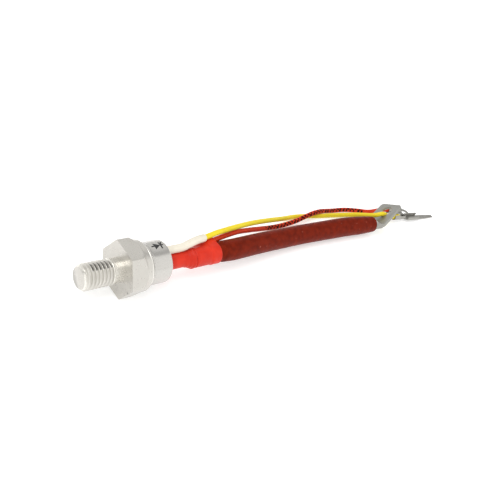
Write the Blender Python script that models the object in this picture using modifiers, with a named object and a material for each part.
"""Stud thyristor with flexible leads, lying on a flat of its hexagon.

The stud, the hexagon and the seat for the silicon are one turned and milled piece.
The can is welded to it, and a glass disc in the can's rear face holds two tubes,
one for the main cathode lead and one for the gate. +X runs along the axis from the
stud to the leads, +Z is up, and the surface it lies on is z = 0. Lengths along the
axis are given from the seat, the face of the hexagon that is clamped down.
"""

import math

import bpy
import bmesh
from mathutils import Matrix, Vector

MM = 0.001
GAP = 0.3 * MM           # running gap between pieces that touch

# Stud and hexagon, one piece of copper
STUD_D = 12.0 * MM
STUD_LEN = 19.0 * MM
STUD_CHAMFER = 1.2 * MM
SHANK_D = STUD_D - 0.6 * MM      # plain stretch between the thread and the hexagon
SHANK_LEN = 4.6 * MM
HEX_AF = 24.0 * MM
HEX_T = 10.8 * MM
HEX_CORNER_LEN = 6.2 * MM        # length of the corners, before the turned chamfer
COLLAR_D = HEX_AF - 0.2 * MM     # round collar that the chamfer runs into
COLLAR_ROUND = 0.5 * MM
PEDESTAL_T = 1.8 * MM
PEDESTAL_LAND = 0.6 * MM        # how far it stands out round the discs

# Gate and auxiliary cathode wires
WIRE_D = 2.5 * MM
STRANDS_D = 1.5 * MM
WHITE_WALL = 0.35 * MM
WHITE_END_D = WIRE_D + 2.0 * (GAP + WHITE_WALL)
WHITE_D = WHITE_END_D + 0.2 * MM

# Glass seal and its two tubes, placed in the can's cross-section
GLASS_T = 2.6 * MM
GLASS_LAND = 1.0 * MM            # glass left round the outer tube
CATHODE_Y = -1.2 * MM
CATHODE_Z = -1.4 * MM
CATHODE_TUBE_D = 5.4 * MM
CATHODE_TUBE_WALL = 0.5 * MM
CATHODE_TUBE_OUT = 19.0 * MM     # how far it stands out of the can
BOOT_WALL = 0.45 * MM
GATE_TUBE_D = 2.0 * MM
GATE_TUBE_WALL = 0.35 * MM
GATE_TUBE_OUT = 5.0 * MM
GATE_TURN = math.radians(34.8)   # where the gate tube stands, from straight up
TUBE_LAND = 0.5 * MM             # between the boot's neck and the white sleeve
TUBE_INSIDE = 1.2 * MM           # how far both tubes stand into the can
INNER_ROPE_D = CATHODE_TUBE_D - 2.0 * (CATHODE_TUBE_WALL + GAP)
GATE_PIN_D = GATE_TUBE_D - 2.0 * (GATE_TUBE_WALL + GAP)
GATE_SLEEVE_WALL = 0.35 * MM
TUBE_SPACING = CATHODE_TUBE_D / 2.0 + GAP + BOOT_WALL + TUBE_LAND + WHITE_D / 2.0
GATE_Y = CATHODE_Y + TUBE_SPACING * math.sin(GATE_TURN)
GATE_Z = CATHODE_Z + TUBE_SPACING * math.cos(GATE_TURN)
GATE_OUT = math.hypot(GATE_Y, GATE_Z)
GATE_CLEAR = GATE_PIN_D / 2.0 + GAP + GATE_SLEEVE_WALL + GAP

# Stack of discs inside the can, each a little wider than the one above it
CUP_LAND = 0.6 * MM              # metal left round the gate's passage
CUP_D = 2.0 * (GATE_OUT + GATE_CLEAR + CUP_LAND)
CUP_T = 1.2 * MM
CUP_COLLAR_LEN = 2.0 * MM
CUP_COLLAR_WALL = 0.8 * MM
CUP_BORE_IN = 0.3 * MM           # how far the collar's bore stays above the cup's top
CATHODE_DISC_D = CUP_D + 0.6 * MM
CATHODE_DISC_T = 0.8 * MM
CHIP_D = CATHODE_DISC_D + 1.4 * MM
CHIP_T = 0.5 * MM
CHIP_BEVEL = 0.5 * MM
ANODE_DISC_D = CHIP_D + 0.4 * MM
ANODE_DISC_T = 1.0 * MM
LOCATING_RING_WALL = 1.4 * MM
LOCATING_RING_LEN = 3.6 * MM
PEDESTAL_D = ANODE_DISC_D + 2.0 * PEDESTAL_LAND
HEADROOM = 0.9 * MM              # between the cup's collar and the cathode tube

# Can, closed round the locating ring
CAN_WALL = 0.8 * MM
CAN_D = ANODE_DISC_D + 2.0 * (GAP + LOCATING_RING_WALL + GAP + CAN_WALL)
CAN_TOP_T = 1.0 * MM
CAN_ROUND = 1.5 * MM
CAN_OPENING_D = 2.0 * (GATE_OUT + GATE_TUBE_D / 2.0 + GAP + GLASS_LAND + GAP)
RING_D = CAN_D + 1.8 * MM
RING_T = 0.9 * MM
FLANGE_D = CAN_D + 0.9 * MM
FLANGE_T = 0.7 * MM

# Main cathode lead
ROPE_D = 6.6 * MM
CABLE_WALL = 1.0 * MM
CABLE_SLACK = 1.15 * MM          # between the rope and its sleeve, along the free part
CABLE_D = ROPE_D + 2.0 * (CABLE_SLACK + CABLE_WALL)
CABLE_TIGHT_D = ROPE_D + 2.0 * (GAP + CABLE_WALL)
SLEEVE_GROWS = 4.2 * MM          # length past the boot over which it slackens
SWELL_GROWS = 26.0 * MM          # length before the lug over which it swells
SWELL_EXTRA = 0.45 * MM          # how much fuller than tight it is over the barrel's back

# Joint under the red boot
FERRULE_WALL = 0.65 * MM
FERRULE_D = ROPE_D + 2.0 * (GAP + FERRULE_WALL)
FERRULE_LEN = 12.5 * MM
FERRULE_STEP = 6.0 * MM          # length of its narrow bore, over the cathode tube
FERRULE_OVERLAP = 4.0 * MM       # how far the tube goes into that bore
BOOT_LAP = 4.3 * MM              # how far the boot laps over the cable sleeve
BOOT_STEP_LEN = 2.4 * MM

# Cathode lug
LUG_WALL = 0.7 * MM
LUG_BARREL_D = ROPE_D + 2.0 * (GAP + LUG_WALL)
LUG_BARREL_LEN = 20.0 * MM
LUG_BORE_DEPTH = 17.5 * MM
PALM_W = 15.8 * MM
PALM_LEN = 19.8 * MM
PALM_T = 1.6 * MM
PALM_HOLE_D = 8.4 * MM
PALM_HOLE_TO_TIP = 7.0 * MM
PALM_CORNER = 1.2 * MM
PALM_NECK = 1.4 * MM
LUG_YAW = math.radians(-6.0)
LUG_ROLL = math.radians(36.0)
LUG_BEND = math.radians(34.0)
LUG_X = 180.0 * MM               # where the barrel ends, from the seat
LUG_Y = -1.9 * MM
LUG_Z = 6.15 * MM
PALM_SET = 1.3 * MM              # from the barrel's end to the start of the palm
PALM_DROP = 0.1 * MM

# Small crimp terminals, rolled from strip
STRIP_T = 0.4 * MM
GRIP_R = WIRE_D / 2.0 + 0.35 * MM
GRIP_LEN = 5.2 * MM
GRIP_GAP = 1.4 * MM
BARREL_R = STRANDS_D / 2.0 + GAP
BARREL_LEN = 4.6 * MM
BLADE_NECK_LEN = 2.8 * MM
BLADE_BOX_LEN = 10.4 * MM
BLADE_BOX_F = 1.7 * MM
BLADE_BOX_R = 0.8 * MM
BLADE_LEN = 17.4 * MM
BLADE_W = 3.6 * MM
BLADE_TIP_W = 1.9 * MM
EYE_HOLE_D = 4.3 * MM
EYE_D = EYE_HOLE_D + 3.5 * MM
EYE_NECK_W = 3.4 * MM
EYE_NECK_LEN = 1.6 * MM

# Where things sit along the axis, from the seat
CAN_START = HEX_T + GAP + RING_T + GAP
ANODE_START = HEX_T + PEDESTAL_T + GAP
CHIP_START = ANODE_START + ANODE_DISC_T + GAP
DISC_START = CHIP_START + CHIP_T + GAP
CUP_START = DISC_START + CATHODE_DISC_T + GAP
CUP_END = CUP_START + CUP_T
TUBE_START = CUP_END + CUP_COLLAR_LEN + HEADROOM
CAN_END = TUBE_START + TUBE_INSIDE + (GLASS_T + CAN_TOP_T) / 2.0
TUBE_END = CAN_END + CATHODE_TUBE_OUT
FERRULE_START = TUBE_END - FERRULE_OVERLAP
FERRULE_END = FERRULE_START + FERRULE_LEN
GLASS_START = CAN_END - (CAN_TOP_T + GLASS_T) / 2.0
GLASS_END = GLASS_START + GLASS_T
BOOT_START = GLASS_END + GAP
WHITE_START = GLASS_END + GAP
CABLE_START = FERRULE_END + GAP
BOOT_END = CABLE_START + BOOT_LAP

# The frame's origin is under the middle of the rigid part
SEAT_X = (STUD_LEN - BOOT_END) / 2.0
AXIS_Z = HEX_AF / 2.0


def seat(x, y, z):
    """A point given from the seat along the axis and from the surface up."""
    return Vector((SEAT_X + x, y, z))


# Scene
for thing in list(bpy.data.objects):
    bpy.data.objects.remove(thing, do_unlink=True)


def new_collection(name):
    coll = bpy.data.collections.new(name)
    bpy.context.scene.collection.children.link(coll)
    return coll


PARTS = new_collection("stud_thyristor")
CUTTERS = new_collection("cutters")


def material(name, colour, roughness, metallic):
    mat = bpy.data.materials.new(name)
    mat.use_nodes = True
    shader = mat.node_tree.nodes["Principled BSDF"]
    shader.inputs["Base Color"].default_value = (*colour, 1.0)
    shader.inputs["Roughness"].default_value = roughness
    shader.inputs["Metallic"].default_value = metallic
    mat.diffuse_color = (*colour, 1.0)
    return mat


NICKEL = material("satin_nickel", (0.66, 0.64, 0.60), 0.34, 1.0)
CAN_METAL = material("can_nickel", (0.68, 0.67, 0.64), 0.28, 1.0)
STEEL = material("weld_steel", (0.56, 0.55, 0.53), 0.4, 1.0)
TIN = material("tinned_copper", (0.62, 0.62, 0.60), 0.36, 1.0)
COPPER = material("copper", (0.72, 0.36, 0.2), 0.4, 1.0)
GLASS = material("seal_glass", (0.1, 0.16, 0.14), 0.12, 0.0)
SILICON = material("silicon", (0.18, 0.19, 0.22), 0.2, 1.0)
MOLY = material("molybdenum", (0.5, 0.5, 0.52), 0.45, 1.0)
PTFE = material("white_ptfe", (0.86, 0.85, 0.8), 0.5, 0.0)
BOOT_RED = material("boot_red", (0.8, 0.06, 0.03), 0.4, 0.0)
WHITE = material("sleeve_white", (0.88, 0.86, 0.78), 0.5, 0.0)
CABLE_RED = material("cable_brown_red", (0.2, 0.02, 0.008), 0.45, 0.0)
YELLOW = material("wire_yellow", (0.82, 0.7, 0.08), 0.42, 0.0)
WIRE_RED = material("wire_red", (0.5, 0.04, 0.012), 0.45, 0.0)


# Helpers
def add_object(name, data, mat, coll=None):
    obj = bpy.data.objects.new(name, data)
    (coll or PARTS).objects.link(obj)
    if mat is not None:
        data.materials.append(mat)
    return obj


def as_cutter(obj):
    obj.hide_render = True
    obj.display_type = 'WIRE'
    return obj


def smooth(mesh, degrees=35.0):
    mesh.shade_smooth()
    mesh.set_sharp_from_angle(angle=math.radians(degrees))


def turned(name, profile, steps, mat, y=0.0, z=0.0, cutter=False):
    """A profile of (distance from the seat, radius), turned about the axis.

    The outer side runs from the far end back toward the stud.
    """
    mesh = bpy.data.meshes.new(name)
    closed = profile[0][1] > 0.0
    points = [(radius, 0.0, along) for along, radius in profile]
    edges = [(i, i + 1) for i in range(len(points) - 1)]
    if closed:
        edges.append((len(points) - 1, 0))
    mesh.from_pydata(points, edges, [])
    obj = add_object(name, mesh, mat, CUTTERS if cutter else PARTS)
    screw = obj.modifiers.new("turn", 'SCREW')
    screw.axis = 'Z'
    screw.steps = steps
    screw.render_steps = steps
    screw.use_merge_vertices = True
    screw.merge_threshold = 1e-6
    screw.use_smooth_shade = True
    obj.location = (SEAT_X, y, AXIS_Z + z)
    obj.rotation_euler = (0.0, math.pi / 2.0, 0.0)
    if cutter:
        as_cutter(obj)
    return obj


def boolean(obj, other, operation):
    mod = obj.modifiers.new(operation.lower(), 'BOOLEAN')
    mod.operation = operation
    mod.solver = 'EXACT'
    mod.object = other
    return mod


def rod(start, end, radius):
    """Profile of a plain solid rod."""
    return [(end, 0.0), (end, radius), (start, radius), (start, 0.0)]


def pipe(start, end, outer, inner):
    """Profile of a plain pipe, its outer side first."""
    return [(end, outer), (start, outer), (start, inner), (end, inner)]


def cylinder_cutter(name, centre, axis, radius, depth, segments=48):
    """A straight cutter of the given depth about its centre."""
    mesh = bpy.data.meshes.new(name)
    form = bmesh.new()
    bmesh.ops.create_cone(form, cap_ends=True, segments=segments, radius1=radius,
                          radius2=radius, depth=depth)
    form.to_mesh(mesh)
    form.free()
    obj = add_object(name, mesh, None, CUTTERS)
    obj.matrix_world = (Matrix.Translation(centre)
                        @ axis.to_track_quat('Z', 'Y').to_matrix().to_4x4())
    return as_cutter(obj)


def smooth_route(points, spacing):
    """Even points along a smooth curve through the route's own points."""
    pts = [Vector(p) for p in points]
    pts = [2.0 * pts[0] - pts[1]] + pts + [2.0 * pts[-1] - pts[-2]]
    fine = []
    for i in range(1, len(pts) - 2):
        p0, p1, p2, p3 = pts[i - 1], pts[i], pts[i + 1], pts[i + 2]
        t0 = 0.0
        t1 = t0 + math.sqrt((p1 - p0).length)
        t2 = t1 + math.sqrt((p2 - p1).length)
        t3 = t2 + math.sqrt((p3 - p2).length)
        for k in range(24):
            t = t1 + (t2 - t1) * k / 24.0
            a1 = (t1 - t) / (t1 - t0) * p0 + (t - t0) / (t1 - t0) * p1
            a2 = (t2 - t) / (t2 - t1) * p1 + (t - t1) / (t2 - t1) * p2
            a3 = (t3 - t) / (t3 - t2) * p2 + (t - t2) / (t3 - t2) * p3
            b1 = (t2 - t) / (t2 - t0) * a1 + (t - t0) / (t2 - t0) * a2
            b2 = (t3 - t) / (t3 - t1) * a2 + (t - t1) / (t3 - t1) * a3
            fine.append((t2 - t) / (t2 - t1) * b1 + (t - t1) / (t2 - t1) * b2)
    fine.append(pts[-2])
    total = sum((b - a).length for a, b in zip(fine, fine[1:]))
    count = max(2, round(total / spacing))
    step = total / count
    even = [fine[0]]
    walked = 0.0
    for a, b in zip(fine, fine[1:]):
        length = (b - a).length
        while len(even) < count and walked + length >= step * len(even):
            share = (step * len(even) - walked) / length
            even.append(a.lerp(b, share))
        walked += length
    even.append(fine[-1])
    return even


def cord_curve(name, points, radius, mat, caps=True, scale=None, sides=2):
    """A round tube along a route, as a poly spline."""
    curve = bpy.data.curves.new(name, 'CURVE')
    curve.dimensions = '3D'
    curve.bevel_depth = radius
    curve.bevel_resolution = sides
    curve.use_fill_caps = caps
    spline = curve.splines.new('POLY')
    spline.points.add(len(points) - 1)
    for i, (target, p) in enumerate(zip(spline.points, points)):
        target.co = (p.x, p.y, p.z, 1.0)
        target.radius = scale[i] if scale else 1.0
    return add_object(name, curve, mat)


def as_mesh(obj, mat):
    """The curve object's evaluated form as a mesh object of the same name."""
    name = obj.name
    graph = bpy.context.evaluated_depsgraph_get()
    graph.update()
    mesh = bpy.data.meshes.new_from_object(obj.evaluated_get(graph))
    place = obj.matrix_world.copy()
    bpy.data.objects.remove(obj, do_unlink=True)
    form = bmesh.new()
    form.from_mesh(mesh)
    bmesh.ops.remove_doubles(form, verts=form.verts, dist=1e-7)
    form.to_mesh(mesh)
    form.free()
    mesh.materials.clear()
    new = add_object(name, mesh, mat)
    new.matrix_world = place
    return new


def hollow(obj, wall):
    """Gives an open tube its wall, inward from the surface that is drawn."""
    mod = obj.modifiers.new("wall", 'SOLIDIFY')
    mod.thickness = wall
    mod.offset = -1.0
    mod.use_even_offset = True
    return obj


def lofted(name, sections, mat, capped=True, closed=True):
    """Faces between rows of points, each row one section of the form."""
    mesh = bpy.data.meshes.new(name)
    form = bmesh.new()
    rows = [[form.verts.new(p) for p in row] for row in sections]
    count = len(rows[0])
    last = count if closed else count - 1
    for a, b in zip(rows, rows[1:]):
        for i in range(last):
            j = (i + 1) % count
            form.faces.new((a[i], a[j], b[j], b[i]))
    if capped:
        form.faces.new(list(reversed(rows[0])))
        form.faces.new(rows[-1])
    form.to_mesh(mesh)
    form.free()
    smooth(mesh)
    return add_object(name, mesh, mat)


# Base
def make_base():
    flats = bpy.data.meshes.new("stud_base")
    form = bmesh.new()
    bmesh.ops.create_cone(form, cap_ends=True, segments=6, depth=HEX_T,
                          radius1=HEX_AF / math.sqrt(3.0),
                          radius2=HEX_AF / math.sqrt(3.0))
    form.to_mesh(flats)
    form.free()
    base = add_object("stud_base", flats, NICKEL)
    # a corner of the primitive points along Y, so a flat lies underneath
    base.matrix_world = (Matrix.Translation(seat(HEX_T / 2.0, 0.0, AXIS_Z))
                         @ Matrix.Rotation(math.pi / 2.0, 4, 'Y'))
    corner = HEX_AF / math.sqrt(3.0)
    collar = COLLAR_D / 2.0
    over = 1.0 * MM
    envelope = turned("hexagon_chamfer", [
        (HEX_T, 0.0), (HEX_T, collar - COLLAR_ROUND), (HEX_T - COLLAR_ROUND, collar),
        (HEX_CORNER_LEN + corner - collar, collar), (HEX_CORNER_LEN - over, corner + over),
        (-over, corner + over), (-over, 0.0)], 72, None, cutter=True)
    boolean(base, envelope, 'INTERSECT')
    stud = turned("stud_form", [
        (1.0 * MM, 0.0), (1.0 * MM, SHANK_D / 2.0),
        (-SHANK_LEN + (STUD_D - SHANK_D) / 2.0, SHANK_D / 2.0),
        (-SHANK_LEN, STUD_D / 2.0),
        (-STUD_LEN + STUD_CHAMFER, STUD_D / 2.0),
        (-STUD_LEN, STUD_D / 2.0 - STUD_CHAMFER), (-STUD_LEN, 0.0)],
        48, None, cutter=True)
    boolean(base, stud, 'UNION')
    top = HEX_T + PEDESTAL_T
    pedestal = turned("pedestal_form", [
        (top, 0.0), (top, PEDESTAL_D / 2.0 - 0.3 * MM),
        (top - 0.3 * MM, PEDESTAL_D / 2.0),
        (HEX_T - 1.0 * MM, PEDESTAL_D / 2.0), (HEX_T - 1.0 * MM, 0.0)],
        48, None, cutter=True)
    boolean(base, pedestal, 'UNION')
    return base


make_base()


# Can and what it holds
def arc(centre_x, centre_r, radius, start, end, steps):
    out = []
    for i in range(steps + 1):
        a = math.radians(start + (end - start) * i / steps)
        out.append((centre_x + radius * math.sin(a), centre_r + radius * math.cos(a)))
    return out


turned("weld_ring", pipe(HEX_T + GAP, HEX_T + GAP + RING_T, RING_D / 2.0,
                         PEDESTAL_D / 2.0 + GAP), 64, STEEL)

can_profile = [(CAN_END, CAN_OPENING_D / 2.0)]
can_profile += arc(CAN_END - CAN_ROUND, CAN_D / 2.0 - CAN_ROUND, CAN_ROUND, 90.0, 0.0, 5)
can_profile += [(CAN_START + FLANGE_T + 0.4 * MM, CAN_D / 2.0),
                (CAN_START + FLANGE_T, FLANGE_D / 2.0),
                (CAN_START, FLANGE_D / 2.0),
                (CAN_START, CAN_D / 2.0 - CAN_WALL)]
can_profile += arc(CAN_END - CAN_ROUND, CAN_D / 2.0 - CAN_ROUND,
                   CAN_ROUND - CAN_WALL, 0.0, 70.0, 3)
can_profile += [(CAN_END - CAN_TOP_T, CAN_D / 2.0 - CAN_ROUND - 0.4 * MM),
                (CAN_END - CAN_TOP_T, CAN_OPENING_D / 2.0)]
turned("can", can_profile, 64, CAN_METAL)

# The glass fills the opening and is a little thicker than the can's top.
glass_r = CAN_OPENING_D / 2.0 - GAP
glass = turned("glass_seal", [
    (GLASS_END, 0.0), (GLASS_END, glass_r - 0.4 * MM), (GLASS_END - 0.4 * MM, glass_r),
    (GLASS_START, glass_r), (GLASS_START, 0.0)], 48, GLASS)
for hole_name, hole_y, hole_z, hole_d in (
        ("cathode_hole", CATHODE_Y, CATHODE_Z, CATHODE_TUBE_D),
        ("gate_hole", GATE_Y, GATE_Z, GATE_TUBE_D)):
    cutter = cylinder_cutter(
        hole_name, seat((GLASS_START + GLASS_END) / 2.0, hole_y, AXIS_Z + hole_z),
        Vector((1.0, 0.0, 0.0)), hole_d / 2.0 + GAP, GLASS_T + 2.0 * MM, 40)
    boolean(glass, cutter, 'DIFFERENCE')

# Discs on the pedestal, each a running gap above the last
turned("anode_disc", rod(ANODE_START, ANODE_START + ANODE_DISC_T, ANODE_DISC_D / 2.0),
       48, MOLY)
turned("silicon_chip", [
    (CHIP_START + CHIP_T, 0.0), (CHIP_START + CHIP_T, CHIP_D / 2.0 - CHIP_BEVEL),
    (CHIP_START, CHIP_D / 2.0), (CHIP_START, 0.0)], 48, SILICON)
cathode_disc = turned("cathode_disc",
                      rod(DISC_START, DISC_START + CATHODE_DISC_T, CATHODE_DISC_D / 2.0),
                      48, MOLY)
collar_r = INNER_ROPE_D / 2.0 + GAP + CUP_COLLAR_WALL
cup = turned("cathode_cup", rod(CUP_START, CUP_END, CUP_D / 2.0), 48, COPPER)
collar = turned("cup_collar", rod(CUP_END - 0.4 * MM, CUP_END + CUP_COLLAR_LEN, collar_r),
                32, None, CATHODE_Y, CATHODE_Z, cutter=True)
boolean(cup, collar, 'UNION')
socket = cylinder_cutter(
    "collar_bore", seat(CUP_END + CUP_BORE_IN + CUP_COLLAR_LEN, CATHODE_Y,
                        AXIS_Z + CATHODE_Z),
    Vector((1.0, 0.0, 0.0)), INNER_ROPE_D / 2.0 + GAP, 2.0 * CUP_COLLAR_LEN, 32)
boolean(cup, socket, 'DIFFERENCE')
passage = cylinder_cutter(
    "gate_passage", seat((DISC_START + CUP_END) / 2.0, GATE_Y, AXIS_Z + GATE_Z),
    Vector((1.0, 0.0, 0.0)), GATE_CLEAR, CUP_END - DISC_START + 1.0 * MM, 32)
boolean(cathode_disc, passage, 'DIFFERENCE')
boolean(cup, passage, 'DIFFERENCE')

turned("locating_ring", pipe(ANODE_START + 0.2 * MM,
                             ANODE_START + 0.2 * MM + LOCATING_RING_LEN,
                             ANODE_DISC_D / 2.0 + GAP + LOCATING_RING_WALL,
                             ANODE_DISC_D / 2.0 + GAP), 48, PTFE)
turned("gate_pin", rod(CHIP_START + CHIP_T + GAP, CAN_END + 2.0 * MM, GATE_PIN_D / 2.0),
       16, TIN, GATE_Y, GATE_Z)
turned("gate_pin_sleeve", pipe(DISC_START + 0.1 * MM, TUBE_START - GAP,
                               GATE_PIN_D / 2.0 + GAP + GATE_SLEEVE_WALL,
                               GATE_PIN_D / 2.0 + GAP), 20, PTFE, GATE_Y, GATE_Z)
turned("gate_tube", pipe(TUBE_START, CAN_END + GATE_TUBE_OUT, GATE_TUBE_D / 2.0,
                         GATE_TUBE_D / 2.0 - GATE_TUBE_WALL),
       24, STEEL, GATE_Y, GATE_Z)
turned("cathode_tube", pipe(TUBE_START, TUBE_END, CATHODE_TUBE_D / 2.0,
                            CATHODE_TUBE_D / 2.0 - CATHODE_TUBE_WALL),
       32, STEEL, CATHODE_Y, CATHODE_Z)
turned("inner_rope", rod(CUP_END + CUP_BORE_IN + GAP, TUBE_END - 1.0 * MM,
                         INNER_ROPE_D / 2.0), 24, COPPER, CATHODE_Y, CATHODE_Z)

# Joint
narrow_r = CATHODE_TUBE_D / 2.0 + GAP
rope_bore = ROPE_D / 2.0 + GAP
turned("joint_ferrule", [
    (FERRULE_END, FERRULE_D / 2.0 - 0.3 * MM), (FERRULE_END - 0.3 * MM, FERRULE_D / 2.0),
    (FERRULE_START + 0.5 * MM, FERRULE_D / 2.0),
    (FERRULE_START, FERRULE_D / 2.0 - 0.5 * MM),
    (FERRULE_START, narrow_r), (FERRULE_START + FERRULE_STEP, narrow_r),
    (FERRULE_START + FERRULE_STEP, rope_bore), (FERRULE_END, rope_bore)],
    48, COPPER, CATHODE_Y, CATHODE_Z)

# Where the auxiliary cathode wire lies on the ferrule, seen from the lead's end
AUX_ANGLE = math.radians(59.6)
AUX_OFFSET = CABLE_TIGHT_D / 2.0 + GAP + WIRE_D / 2.0
AUX_Y = CATHODE_Y + AUX_OFFSET * math.sin(AUX_ANGLE)
AUX_Z = AXIS_Z + CATHODE_Z + AUX_OFFSET * math.cos(AUX_ANGLE)
AUX_START = CABLE_START + 1.0 * MM

# The boot's rise over that wire: share of the way along it, share of the height
BOOT_RISE = ((0.0, 0.0), (0.23, 0.22), (0.5, 0.44), (0.72, 0.54), (0.88, 0.82), (1.0, 1.0))


def hull_radius(turn, big, small, offset):
    """Radius of the skin drawn tight round a big circle and a small one beside it."""
    if offset + small <= big or offset <= big - small:
        return big
    tangent = math.acos((big - small) / offset)
    touch = math.atan2(small * math.sin(tangent), offset + small * math.cos(tangent))
    turn = abs(math.atan2(math.sin(turn), math.cos(turn)))
    if turn >= tangent:
        return big
    if turn >= touch:
        return big / math.cos(turn - tangent)
    return offset * math.cos(turn) + math.sqrt(
        max(0.0, small ** 2 - (offset * math.sin(turn)) ** 2))


def make_boot():
    """Heat-shrink boot: a neck on the tube, a step on the ferrule, a bulge on the wire."""
    neck = CATHODE_TUBE_D / 2.0 + GAP + BOOT_WALL
    body = FERRULE_D / 2.0 + GAP + BOOT_WALL
    mouth = CABLE_TIGHT_D / 2.0 + GAP + BOOT_WALL
    small = WIRE_D / 2.0 + GAP + BOOT_WALL
    step = FERRULE_START - GAP
    wide = step + BOOT_STEP_LEN
    stations = [(BOOT_START, neck, 0.0), (step - 3.4 * MM, neck, 0.0),
                (step - 1.9 * MM, neck + 0.35 * MM, 0.0),
                (step - 0.6 * MM, body - 0.7 * MM, 0.0),
                (step, body - 0.45 * MM, 0.0), (step + 0.8 * MM, body - 0.02 * MM, 0.0),
                (wide, body, 0.0)]
    rise_start = wide + 0.7 * MM
    low = body - small
    for along, height in BOOT_RISE:
        x = rise_start + (AUX_START - rise_start) * along
        grown = min(1.0, max(0.0, (x - FERRULE_END + 1.3 * MM) / (1.4 * MM)))
        stations.append((x, body + (mouth - body) * grown,
                         low + (AUX_OFFSET - low) * height))
    stations += [(BOOT_END - 0.5 * MM, mouth, AUX_OFFSET),
                 (BOOT_END, mouth - 0.1 * MM, AUX_OFFSET)]
    rows = []
    count = 48
    for along, radius, offset in stations:
        row = []
        for i in range(count):
            a = 2.0 * math.pi * i / count
            r = hull_radius(a - AUX_ANGLE, radius, small, offset)
            row.append(seat(along, CATHODE_Y + r * math.sin(a),
                            AXIS_Z + CATHODE_Z + r * math.cos(a)))
        rows.append(row[::-1])
    boot = lofted("red_boot", rows, BOOT_RED, capped=False)
    return hollow(boot, BOOT_WALL)


make_boot()


# Lug
def lug_frame():
    """Barrel axis, palm length, palm width and palm top, as the bent lug lies."""
    a = Vector((math.cos(LUG_YAW), math.sin(LUG_YAW), 0.0))
    side = Vector((math.sin(LUG_YAW), -math.cos(LUG_YAW), 0.0))
    up = Vector((0.0, 0.0, 1.0))
    w = math.cos(LUG_ROLL) * side + math.sin(LUG_ROLL) * up
    n0 = w.cross(a)
    if n0.z < 0.0:
        n0 = -n0
    palm = math.cos(LUG_BEND) * a + math.sin(LUG_BEND) * n0
    top = math.cos(LUG_BEND) * n0 - math.sin(LUG_BEND) * a
    return a, palm, w, top, n0


LUG_A, LUG_L, LUG_W, LUG_N, LUG_N0 = lug_frame()
BARREL_END = seat(LUG_X, LUG_Y, LUG_Z)
PALM_BASE = BARREL_END + PALM_SET * LUG_A - PALM_DROP * LUG_N0 - PALM_T / 2.0 * LUG_N


def lug_section(centre, across, over, half_w, half_t, square, count=32):
    """From a circle to a rectangle: square is 0 for round and 1 for flat."""
    row = []
    for i in range(count):
        a = 2.0 * math.pi * (i + 0.0) / count
        c, s = math.cos(a), math.sin(a)
        m = max(abs(c), abs(s))
        x = c * (1.0 - square) + c / m * square
        y = s * (1.0 - square) + s / m * square
        row.append(centre + across * (x * half_w) + over * (y * half_t))
    return row


def make_lug():
    r = LUG_BARREL_D / 2.0
    half = PALM_W / 2.0
    thin = PALM_T / 2.0
    back = BARREL_END - LUG_BARREL_LEN * LUG_A
    n1 = (LUG_N0 * 0.8 + LUG_N * 0.2).normalized()
    n2 = (LUG_N0 * 0.35 + LUG_N * 0.65).normalized()
    rows = [lug_section(back, LUG_W, LUG_N0, r, r, 0.0),
            lug_section(BARREL_END, LUG_W, LUG_N0, r, r, 0.0),
            lug_section(BARREL_END + PALM_SET * 0.4 * LUG_A, LUG_W, n1,
                        r * 1.12, r * 0.82, 0.2),
            lug_section(BARREL_END.lerp(PALM_BASE, 0.95) + 0.3 * MM * LUG_N0, LUG_W, n2,
                        half * 0.8, r * 0.5, 0.7),
            lug_section(PALM_BASE + PALM_NECK * 0.5 * LUG_L, LUG_W, LUG_N,
                        half * 0.95, thin * 1.15, 1.0),
            lug_section(PALM_BASE + PALM_NECK * LUG_L, LUG_W, LUG_N, half, thin, 1.0),
            lug_section(PALM_BASE + (PALM_LEN - PALM_CORNER) * LUG_L, LUG_W, LUG_N,
                        half, thin, 1.0),
            lug_section(PALM_BASE + PALM_LEN * LUG_L, LUG_W, LUG_N,
                        half - PALM_CORNER, thin, 1.0)]
    lug = lofted("cathode_lug", [row[::-1] for row in rows], TIN)
    bore = cylinder_cutter("lug_bore", back + (LUG_BORE_DEPTH / 2.0 - 1.0 * MM) * LUG_A,
                           LUG_A, rope_bore, LUG_BORE_DEPTH + 2.0 * MM, 32)
    boolean(lug, bore, 'DIFFERENCE')
    hole_at = PALM_BASE + (PALM_LEN - PALM_HOLE_TO_TIP) * LUG_L
    hole = cylinder_cutter("palm_hole", hole_at, LUG_N, PALM_HOLE_D / 2.0,
                           PALM_T + 4.0 * MM, 48)
    boolean(lug, hole, 'DIFFERENCE')
    return lug


make_lug()

# Main lead
# The rope leaves the ferrule straight, sags to the surface and ends in the lug.
lead_route = [seat(x * MM, y * MM, z * MM) for x, y, z in (
    (66.0, -1.1, 10.1), (74.0, -0.5, 9.45), (83.0, 0.3, 8.65), (93.0, 1.05, 7.8),
    (105.0, 1.6, 7.0), (117.0, 1.9, 6.5), (129.0, 1.7, 6.25), (141.0, 1.25, 6.2))]
barrel_back = BARREL_END - LUG_BARREL_LEN * LUG_A
lead_mid = lead_route + [barrel_back - 3.0 * MM * LUG_A]
rope_start = FERRULE_START + FERRULE_STEP + GAP
rope_in = [seat(rope_start, CATHODE_Y, AXIS_Z + CATHODE_Z),
           seat(FERRULE_END, CATHODE_Y, AXIS_Z + CATHODE_Z)]
rope_out = [barrel_back + 6.0 * MM * LUG_A,
            barrel_back + (LUG_BORE_DEPTH - 1.0 * MM) * LUG_A]
rope_points = smooth_route(rope_in + lead_mid + rope_out, 9.0 * MM)
cord_curve("cathode_rope", rope_points, ROPE_D / 2.0, COPPER, sides=3)

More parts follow.
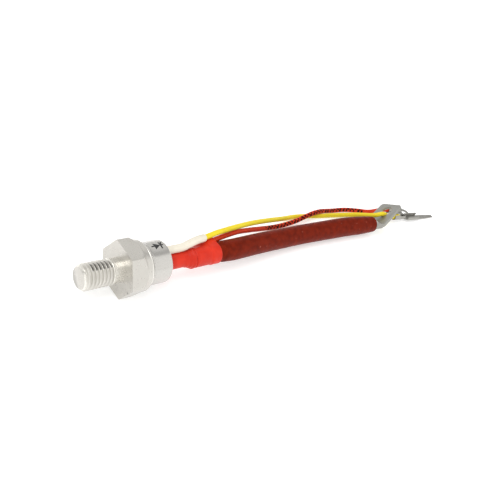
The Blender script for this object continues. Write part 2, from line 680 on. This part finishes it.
# The sleeve is tight in the boot, slack along the way and stretched over the lug.
cable_in = [seat(CABLE_START, CATHODE_Y, AXIS_Z + CATHODE_Z),
            seat(BOOT_END + 0.5 * MM, CATHODE_Y, AXIS_Z + CATHODE_Z)]
cable_from = seat(BOOT_END + SLEEVE_GROWS, CATHODE_Y, AXIS_Z + CATHODE_Z)
cable_out = [barrel_back + 8.0 * MM * LUG_A, BARREL_END]
cable_points = cable_in + smooth_route([cable_from] + lead_mid + cable_out, 7.0 * MM)
swell_r = LUG_BARREL_D / 2.0 + GAP + CABLE_WALL
cable_scale = [CABLE_TIGHT_D / CABLE_D, CABLE_TIGHT_D / CABLE_D]
for p in cable_points[2:]:
    over = min(1.0, max(0.0, 1.0 + (p.x - barrel_back.x) / SWELL_GROWS))
    past = min(1.0, max(0.0, (p.x - barrel_back.x) / LUG_BARREL_LEN))
    ease = over * over * (3.0 - 2.0 * over)
    peak = swell_r + SWELL_EXTRA * (1.0 - past * past)
    cable_scale.append(1.0 + (peak * 2.0 / CABLE_D - 1.0) * ease)
cable = cord_curve("cable_sleeve", cable_points, CABLE_D / 2.0, CABLE_RED, caps=False,
                   scale=cable_scale, sides=4)
cable = as_mesh(cable, CABLE_RED)
smooth(cable.data)
hollow(cable, CABLE_WALL)


# Terminals
def strip_terminal(name, stations, place, mat, columns=17):
    """Strip rolled along its length.

    Each station gives its distance, the half width of its flat bottom, the radius
    that its wings curl to and the angle that they curl through.
    """
    mesh = bpy.data.meshes.new(name)
    form = bmesh.new()
    rows = []
    for along, flat, radius, angle in stations:
        row = []
        half = flat + radius * angle
        for i in range(columns):
            s = half * (2.0 * i / (columns - 1) - 1.0)
            curl = max(0.0, abs(s) - flat)
            y = min(abs(s), flat)
            z = 0.0
            if curl > 0.0:
                y = flat + radius * math.sin(curl / radius)
                z = radius * (1.0 - math.cos(curl / radius))
            row.append(form.verts.new((along, math.copysign(y, s), z)))
        rows.append(row)
    for a, b in zip(rows, rows[1:]):
        for i in range(columns - 1):
            form.faces.new((a[i], b[i], b[i + 1], a[i + 1]))
    form.to_mesh(mesh)
    form.free()
    smooth(mesh)
    obj = add_object(name, mesh, mat)
    obj.matrix_world = place
    mod = obj.modifiers.new("strip", 'SOLIDIFY')
    mod.thickness = STRIP_T
    mod.offset = -1.0
    mod.use_even_offset = True
    return obj


NEAR = math.radians(158.0)
LOW = math.radians(48.0)


def crimp_stations():
    """Insulation grip, gap, wire barrel and neck, shared by both terminals."""
    a = GRIP_LEN
    b = a + GRIP_GAP
    c = b + BARREL_LEN
    edge = 0.25 * MM
    return [(0.0, 0.2 * MM, GRIP_R, NEAR), (a, 0.2 * MM, GRIP_R, NEAR),
            (a + edge, 0.2 * MM, GRIP_R, LOW),
            (b - edge, 0.3 * MM, BARREL_R * 1.2, LOW * 1.2),
            (b, 0.1 * MM, BARREL_R, NEAR), (c, 0.1 * MM, BARREL_R, NEAR),
            (c + edge, 0.3 * MM, BARREL_R * 1.1, LOW)], c


def terminal_frame(at, aim, lean):
    """X along the terminal, Z its open side, leaned about its own length."""
    x = (aim - at).normalized()
    y = Vector((0.0, 0.0, 1.0)).cross(x).normalized()
    z = x.cross(y)
    turn = Matrix.Rotation(lean, 3, x)
    y = turn @ y
    z = turn @ z
    frame = Matrix((x, y, z)).transposed().to_4x4()
    return Matrix.Translation(at) @ frame


GATE_AT = seat(207.2 * MM, 1.75 * MM, 2.5 * MM)
GATE_AIM = seat(249.0 * MM, -2.15 * MM, 0.75 * MM)
AUX_AT = seat(210.5 * MM, 9.5 * MM, 1.1 * MM)
AUX_AIM = seat(226.8 * MM, 5.8 * MM, 0.65 * MM)
gate_frame = terminal_frame(GATE_AT, GATE_AIM, 0.0)
aux_frame = terminal_frame(AUX_AT, AUX_AIM, 0.0)

gate_rows, crimp_end = crimp_stations()
box = crimp_end + BLADE_NECK_LEN
tongue = box + BLADE_BOX_LEN
gate_rows += [
    (box - 0.6 * MM, BLADE_BOX_F * 0.7, BLADE_BOX_R, math.radians(60.0)),
    (box, BLADE_BOX_F, BLADE_BOX_R, math.radians(195.0)),
    (tongue, BLADE_BOX_F, BLADE_BOX_R, math.radians(195.0)),
    (tongue + 0.25 * MM, BLADE_W / 2.0 - 0.1 * MM, 0.5 * MM, math.radians(6.0)),
    (tongue + BLADE_LEN * 0.45, BLADE_W / 2.0 - 0.1 * MM, 0.5 * MM, math.radians(6.0)),
    (tongue + BLADE_LEN - 0.3 * MM, BLADE_TIP_W / 2.0, 0.5 * MM, math.radians(6.0)),
    (tongue + BLADE_LEN, BLADE_TIP_W / 2.0 - 0.3 * MM, 0.5 * MM, math.radians(6.0))]
strip_terminal("gate_terminal", gate_rows, gate_frame, TIN)

aux_rows, crimp_end = crimp_stations()
neck = crimp_end + EYE_NECK_LEN
eye_at = neck + EYE_D / 2.0
aux_rows += [
    (neck, EYE_NECK_W / 2.0 - 0.1 * MM, 0.5 * MM, math.radians(6.0)),
    (eye_at - EYE_HOLE_D / 2.0 - 0.7 * MM, EYE_NECK_W / 2.0 - 0.1 * MM, 0.5 * MM,
     math.radians(6.0))]
aux_terminal = strip_terminal("aux_terminal", aux_rows, aux_frame, TIN)
eye_plate = cylinder_cutter("eye_plate",
                            aux_frame @ Vector((eye_at, 0.0, -STRIP_T / 2.0)),
                            aux_frame.to_3x3().col[2], EYE_D / 2.0,
                            STRIP_T + 0.1 * MM, 40)
boolean(aux_terminal, eye_plate, 'UNION')
eye_hole = cylinder_cutter("eye_hole",
                           aux_frame @ Vector((eye_at, 0.0, 0.0)),
                           aux_frame.to_3x3().col[2], EYE_HOLE_D / 2.0, 4.0 * MM, 32)
boolean(aux_terminal, eye_hole, 'DIFFERENCE')


def in_frame(frame, x, z):
    return frame @ Vector((x, 0.0, z))


# Thin wires
gate_at_can = seat(WHITE_START, GATE_Y, AXIS_Z + GATE_Z)
white_route = [gate_at_can,
               seat(CAN_END + GATE_TUBE_OUT + 1.0 * MM, GATE_Y, AXIS_Z + GATE_Z)]
white_route += [seat(x * MM, y * MM, z * MM) for x, y, z in (
    (35.1, 2.0, 15.9), (38.4, 2.0, 17.2), (43.8, 2.9, 17.8), (48.8, 3.8, 17.3))]
gate_hole_at = PALM_BASE + (PALM_LEN - PALM_HOLE_TO_TIP) * LUG_L
gate_route = [seat(x * MM, y * MM, z * MM) for x, y, z in (
    (57.4, 5.2, 17.6), (64.8, 6.8, 16.5), (74.0, 8.9, 14.9), (85.5, 11.3, 12.8),
    (97.5, 13.6, 10.2), (110.0, 16.0, 7.0), (123.0, 18.4, 3.6), (134.0, 19.8, 1.75),
    (144.0, 18.8, 1.4), (153.5, 17.0, 1.4), (162.8, 15.5, 1.5), (171.6, 13.2, 2.2),
    (177.6, 9.0, 4.9))]
# It passes over the palm's near half, turns round the hole's edge and goes through.
gate_route += [
    gate_hole_at - 2.6 * MM * LUG_W + 3.2 * MM * LUG_N - 7.4 * MM * LUG_L,
    gate_hole_at + 1.2 * MM * LUG_W + 2.9 * MM * LUG_N - 6.0 * MM * LUG_L,
    gate_hole_at + 2.6 * MM * LUG_W + 2.5 * MM * LUG_N - 3.6 * MM * LUG_L,
    gate_hole_at + 2.1 * MM * LUG_W + 1.3 * MM * LUG_N - 1.5 * MM * LUG_L,
    gate_hole_at + 1.8 * MM * LUG_W - 0.6 * MM * LUG_N - 1.1 * MM * LUG_L,
    gate_hole_at + 1.2 * MM * LUG_W - 4.2 * MM * LUG_N + 0.4 * MM * LUG_L,
    in_frame(gate_frame, -6.0 * MM, GRIP_R + 0.6 * MM),
    in_frame(gate_frame, -1.0 * MM, GRIP_R),
    in_frame(gate_frame, GRIP_LEN + 0.3 * MM, GRIP_R)]
wire_start = seat(CAN_END + GATE_TUBE_OUT + GAP, GATE_Y, AXIS_Z + GATE_Z)
gate_points = smooth_route([wire_start] + white_route[1:] + gate_route, 5.6 * MM)
cord_curve("gate_wire", gate_points, WIRE_D / 2.0, YELLOW)

white_points = smooth_route(white_route, 4.5 * MM)
last = len(white_points) - 1
white_scale = [1.0 + (WHITE_END_D / WHITE_D - 1.0) * i / last
               for i in range(last + 1)]
white = cord_curve("white_sleeve", white_points, WHITE_D / 2.0, WHITE, caps=False,
                   scale=white_scale, sides=3)
white = as_mesh(white, WHITE)
smooth(white.data)
hollow(white, WHITE_WALL)

aux_route = [seat(BOOT_END + 0.6 * MM, AUX_Y, AUX_Z)]
aux_route += [seat(x * MM, y * MM, z * MM) for x, y, z in (
    (60.6, 5.4, 13.1), (66.5, 6.5, 12.8), (75.5, 8.3, 11.7), (86.9, 10.3, 9.0),
    (97.3, 11.9, 6.4), (108.6, 13.3, 4.0), (119.7, 14.2, 3.0), (130.5, 15.2, 3.3),
    (140.9, 16.7, 4.2), (147.3, 17.6, 4.4), (154.5, 18.4, 3.7), (166.3, 18.9, 1.7),
    (176.7, 18.0, 1.4), (186.3, 15.3, 1.4), (194.9, 12.3, 1.5))]
aux_route += [in_frame(aux_frame, -4.0 * MM, GRIP_R + 0.1 * MM),
              in_frame(aux_frame, 0.5 * MM, GRIP_R),
              in_frame(aux_frame, GRIP_LEN + 0.3 * MM, GRIP_R)]
aux_points = [seat(AUX_START, AUX_Y, AUX_Z)] + smooth_route(aux_route, 5.8 * MM)
cord_curve("aux_wire", aux_points, WIRE_D / 2.0, WIRE_RED)

# Bare strands from the end of the insulation to the end of the wire barrel
for strands_name, frame, paint in (("gate_strands", gate_frame, TIN),
                                   ("aux_strands", aux_frame, TIN)):
    first = in_frame(frame, GRIP_LEN + 0.3 * MM + GAP, BARREL_R + 0.1 * MM)
    end = in_frame(frame, GRIP_LEN + GRIP_GAP + BARREL_LEN + 0.5 * MM, BARREL_R)
    cord_curve(strands_name, [first, first.lerp(end, 0.5), end], STRANDS_D / 2.0, paint)
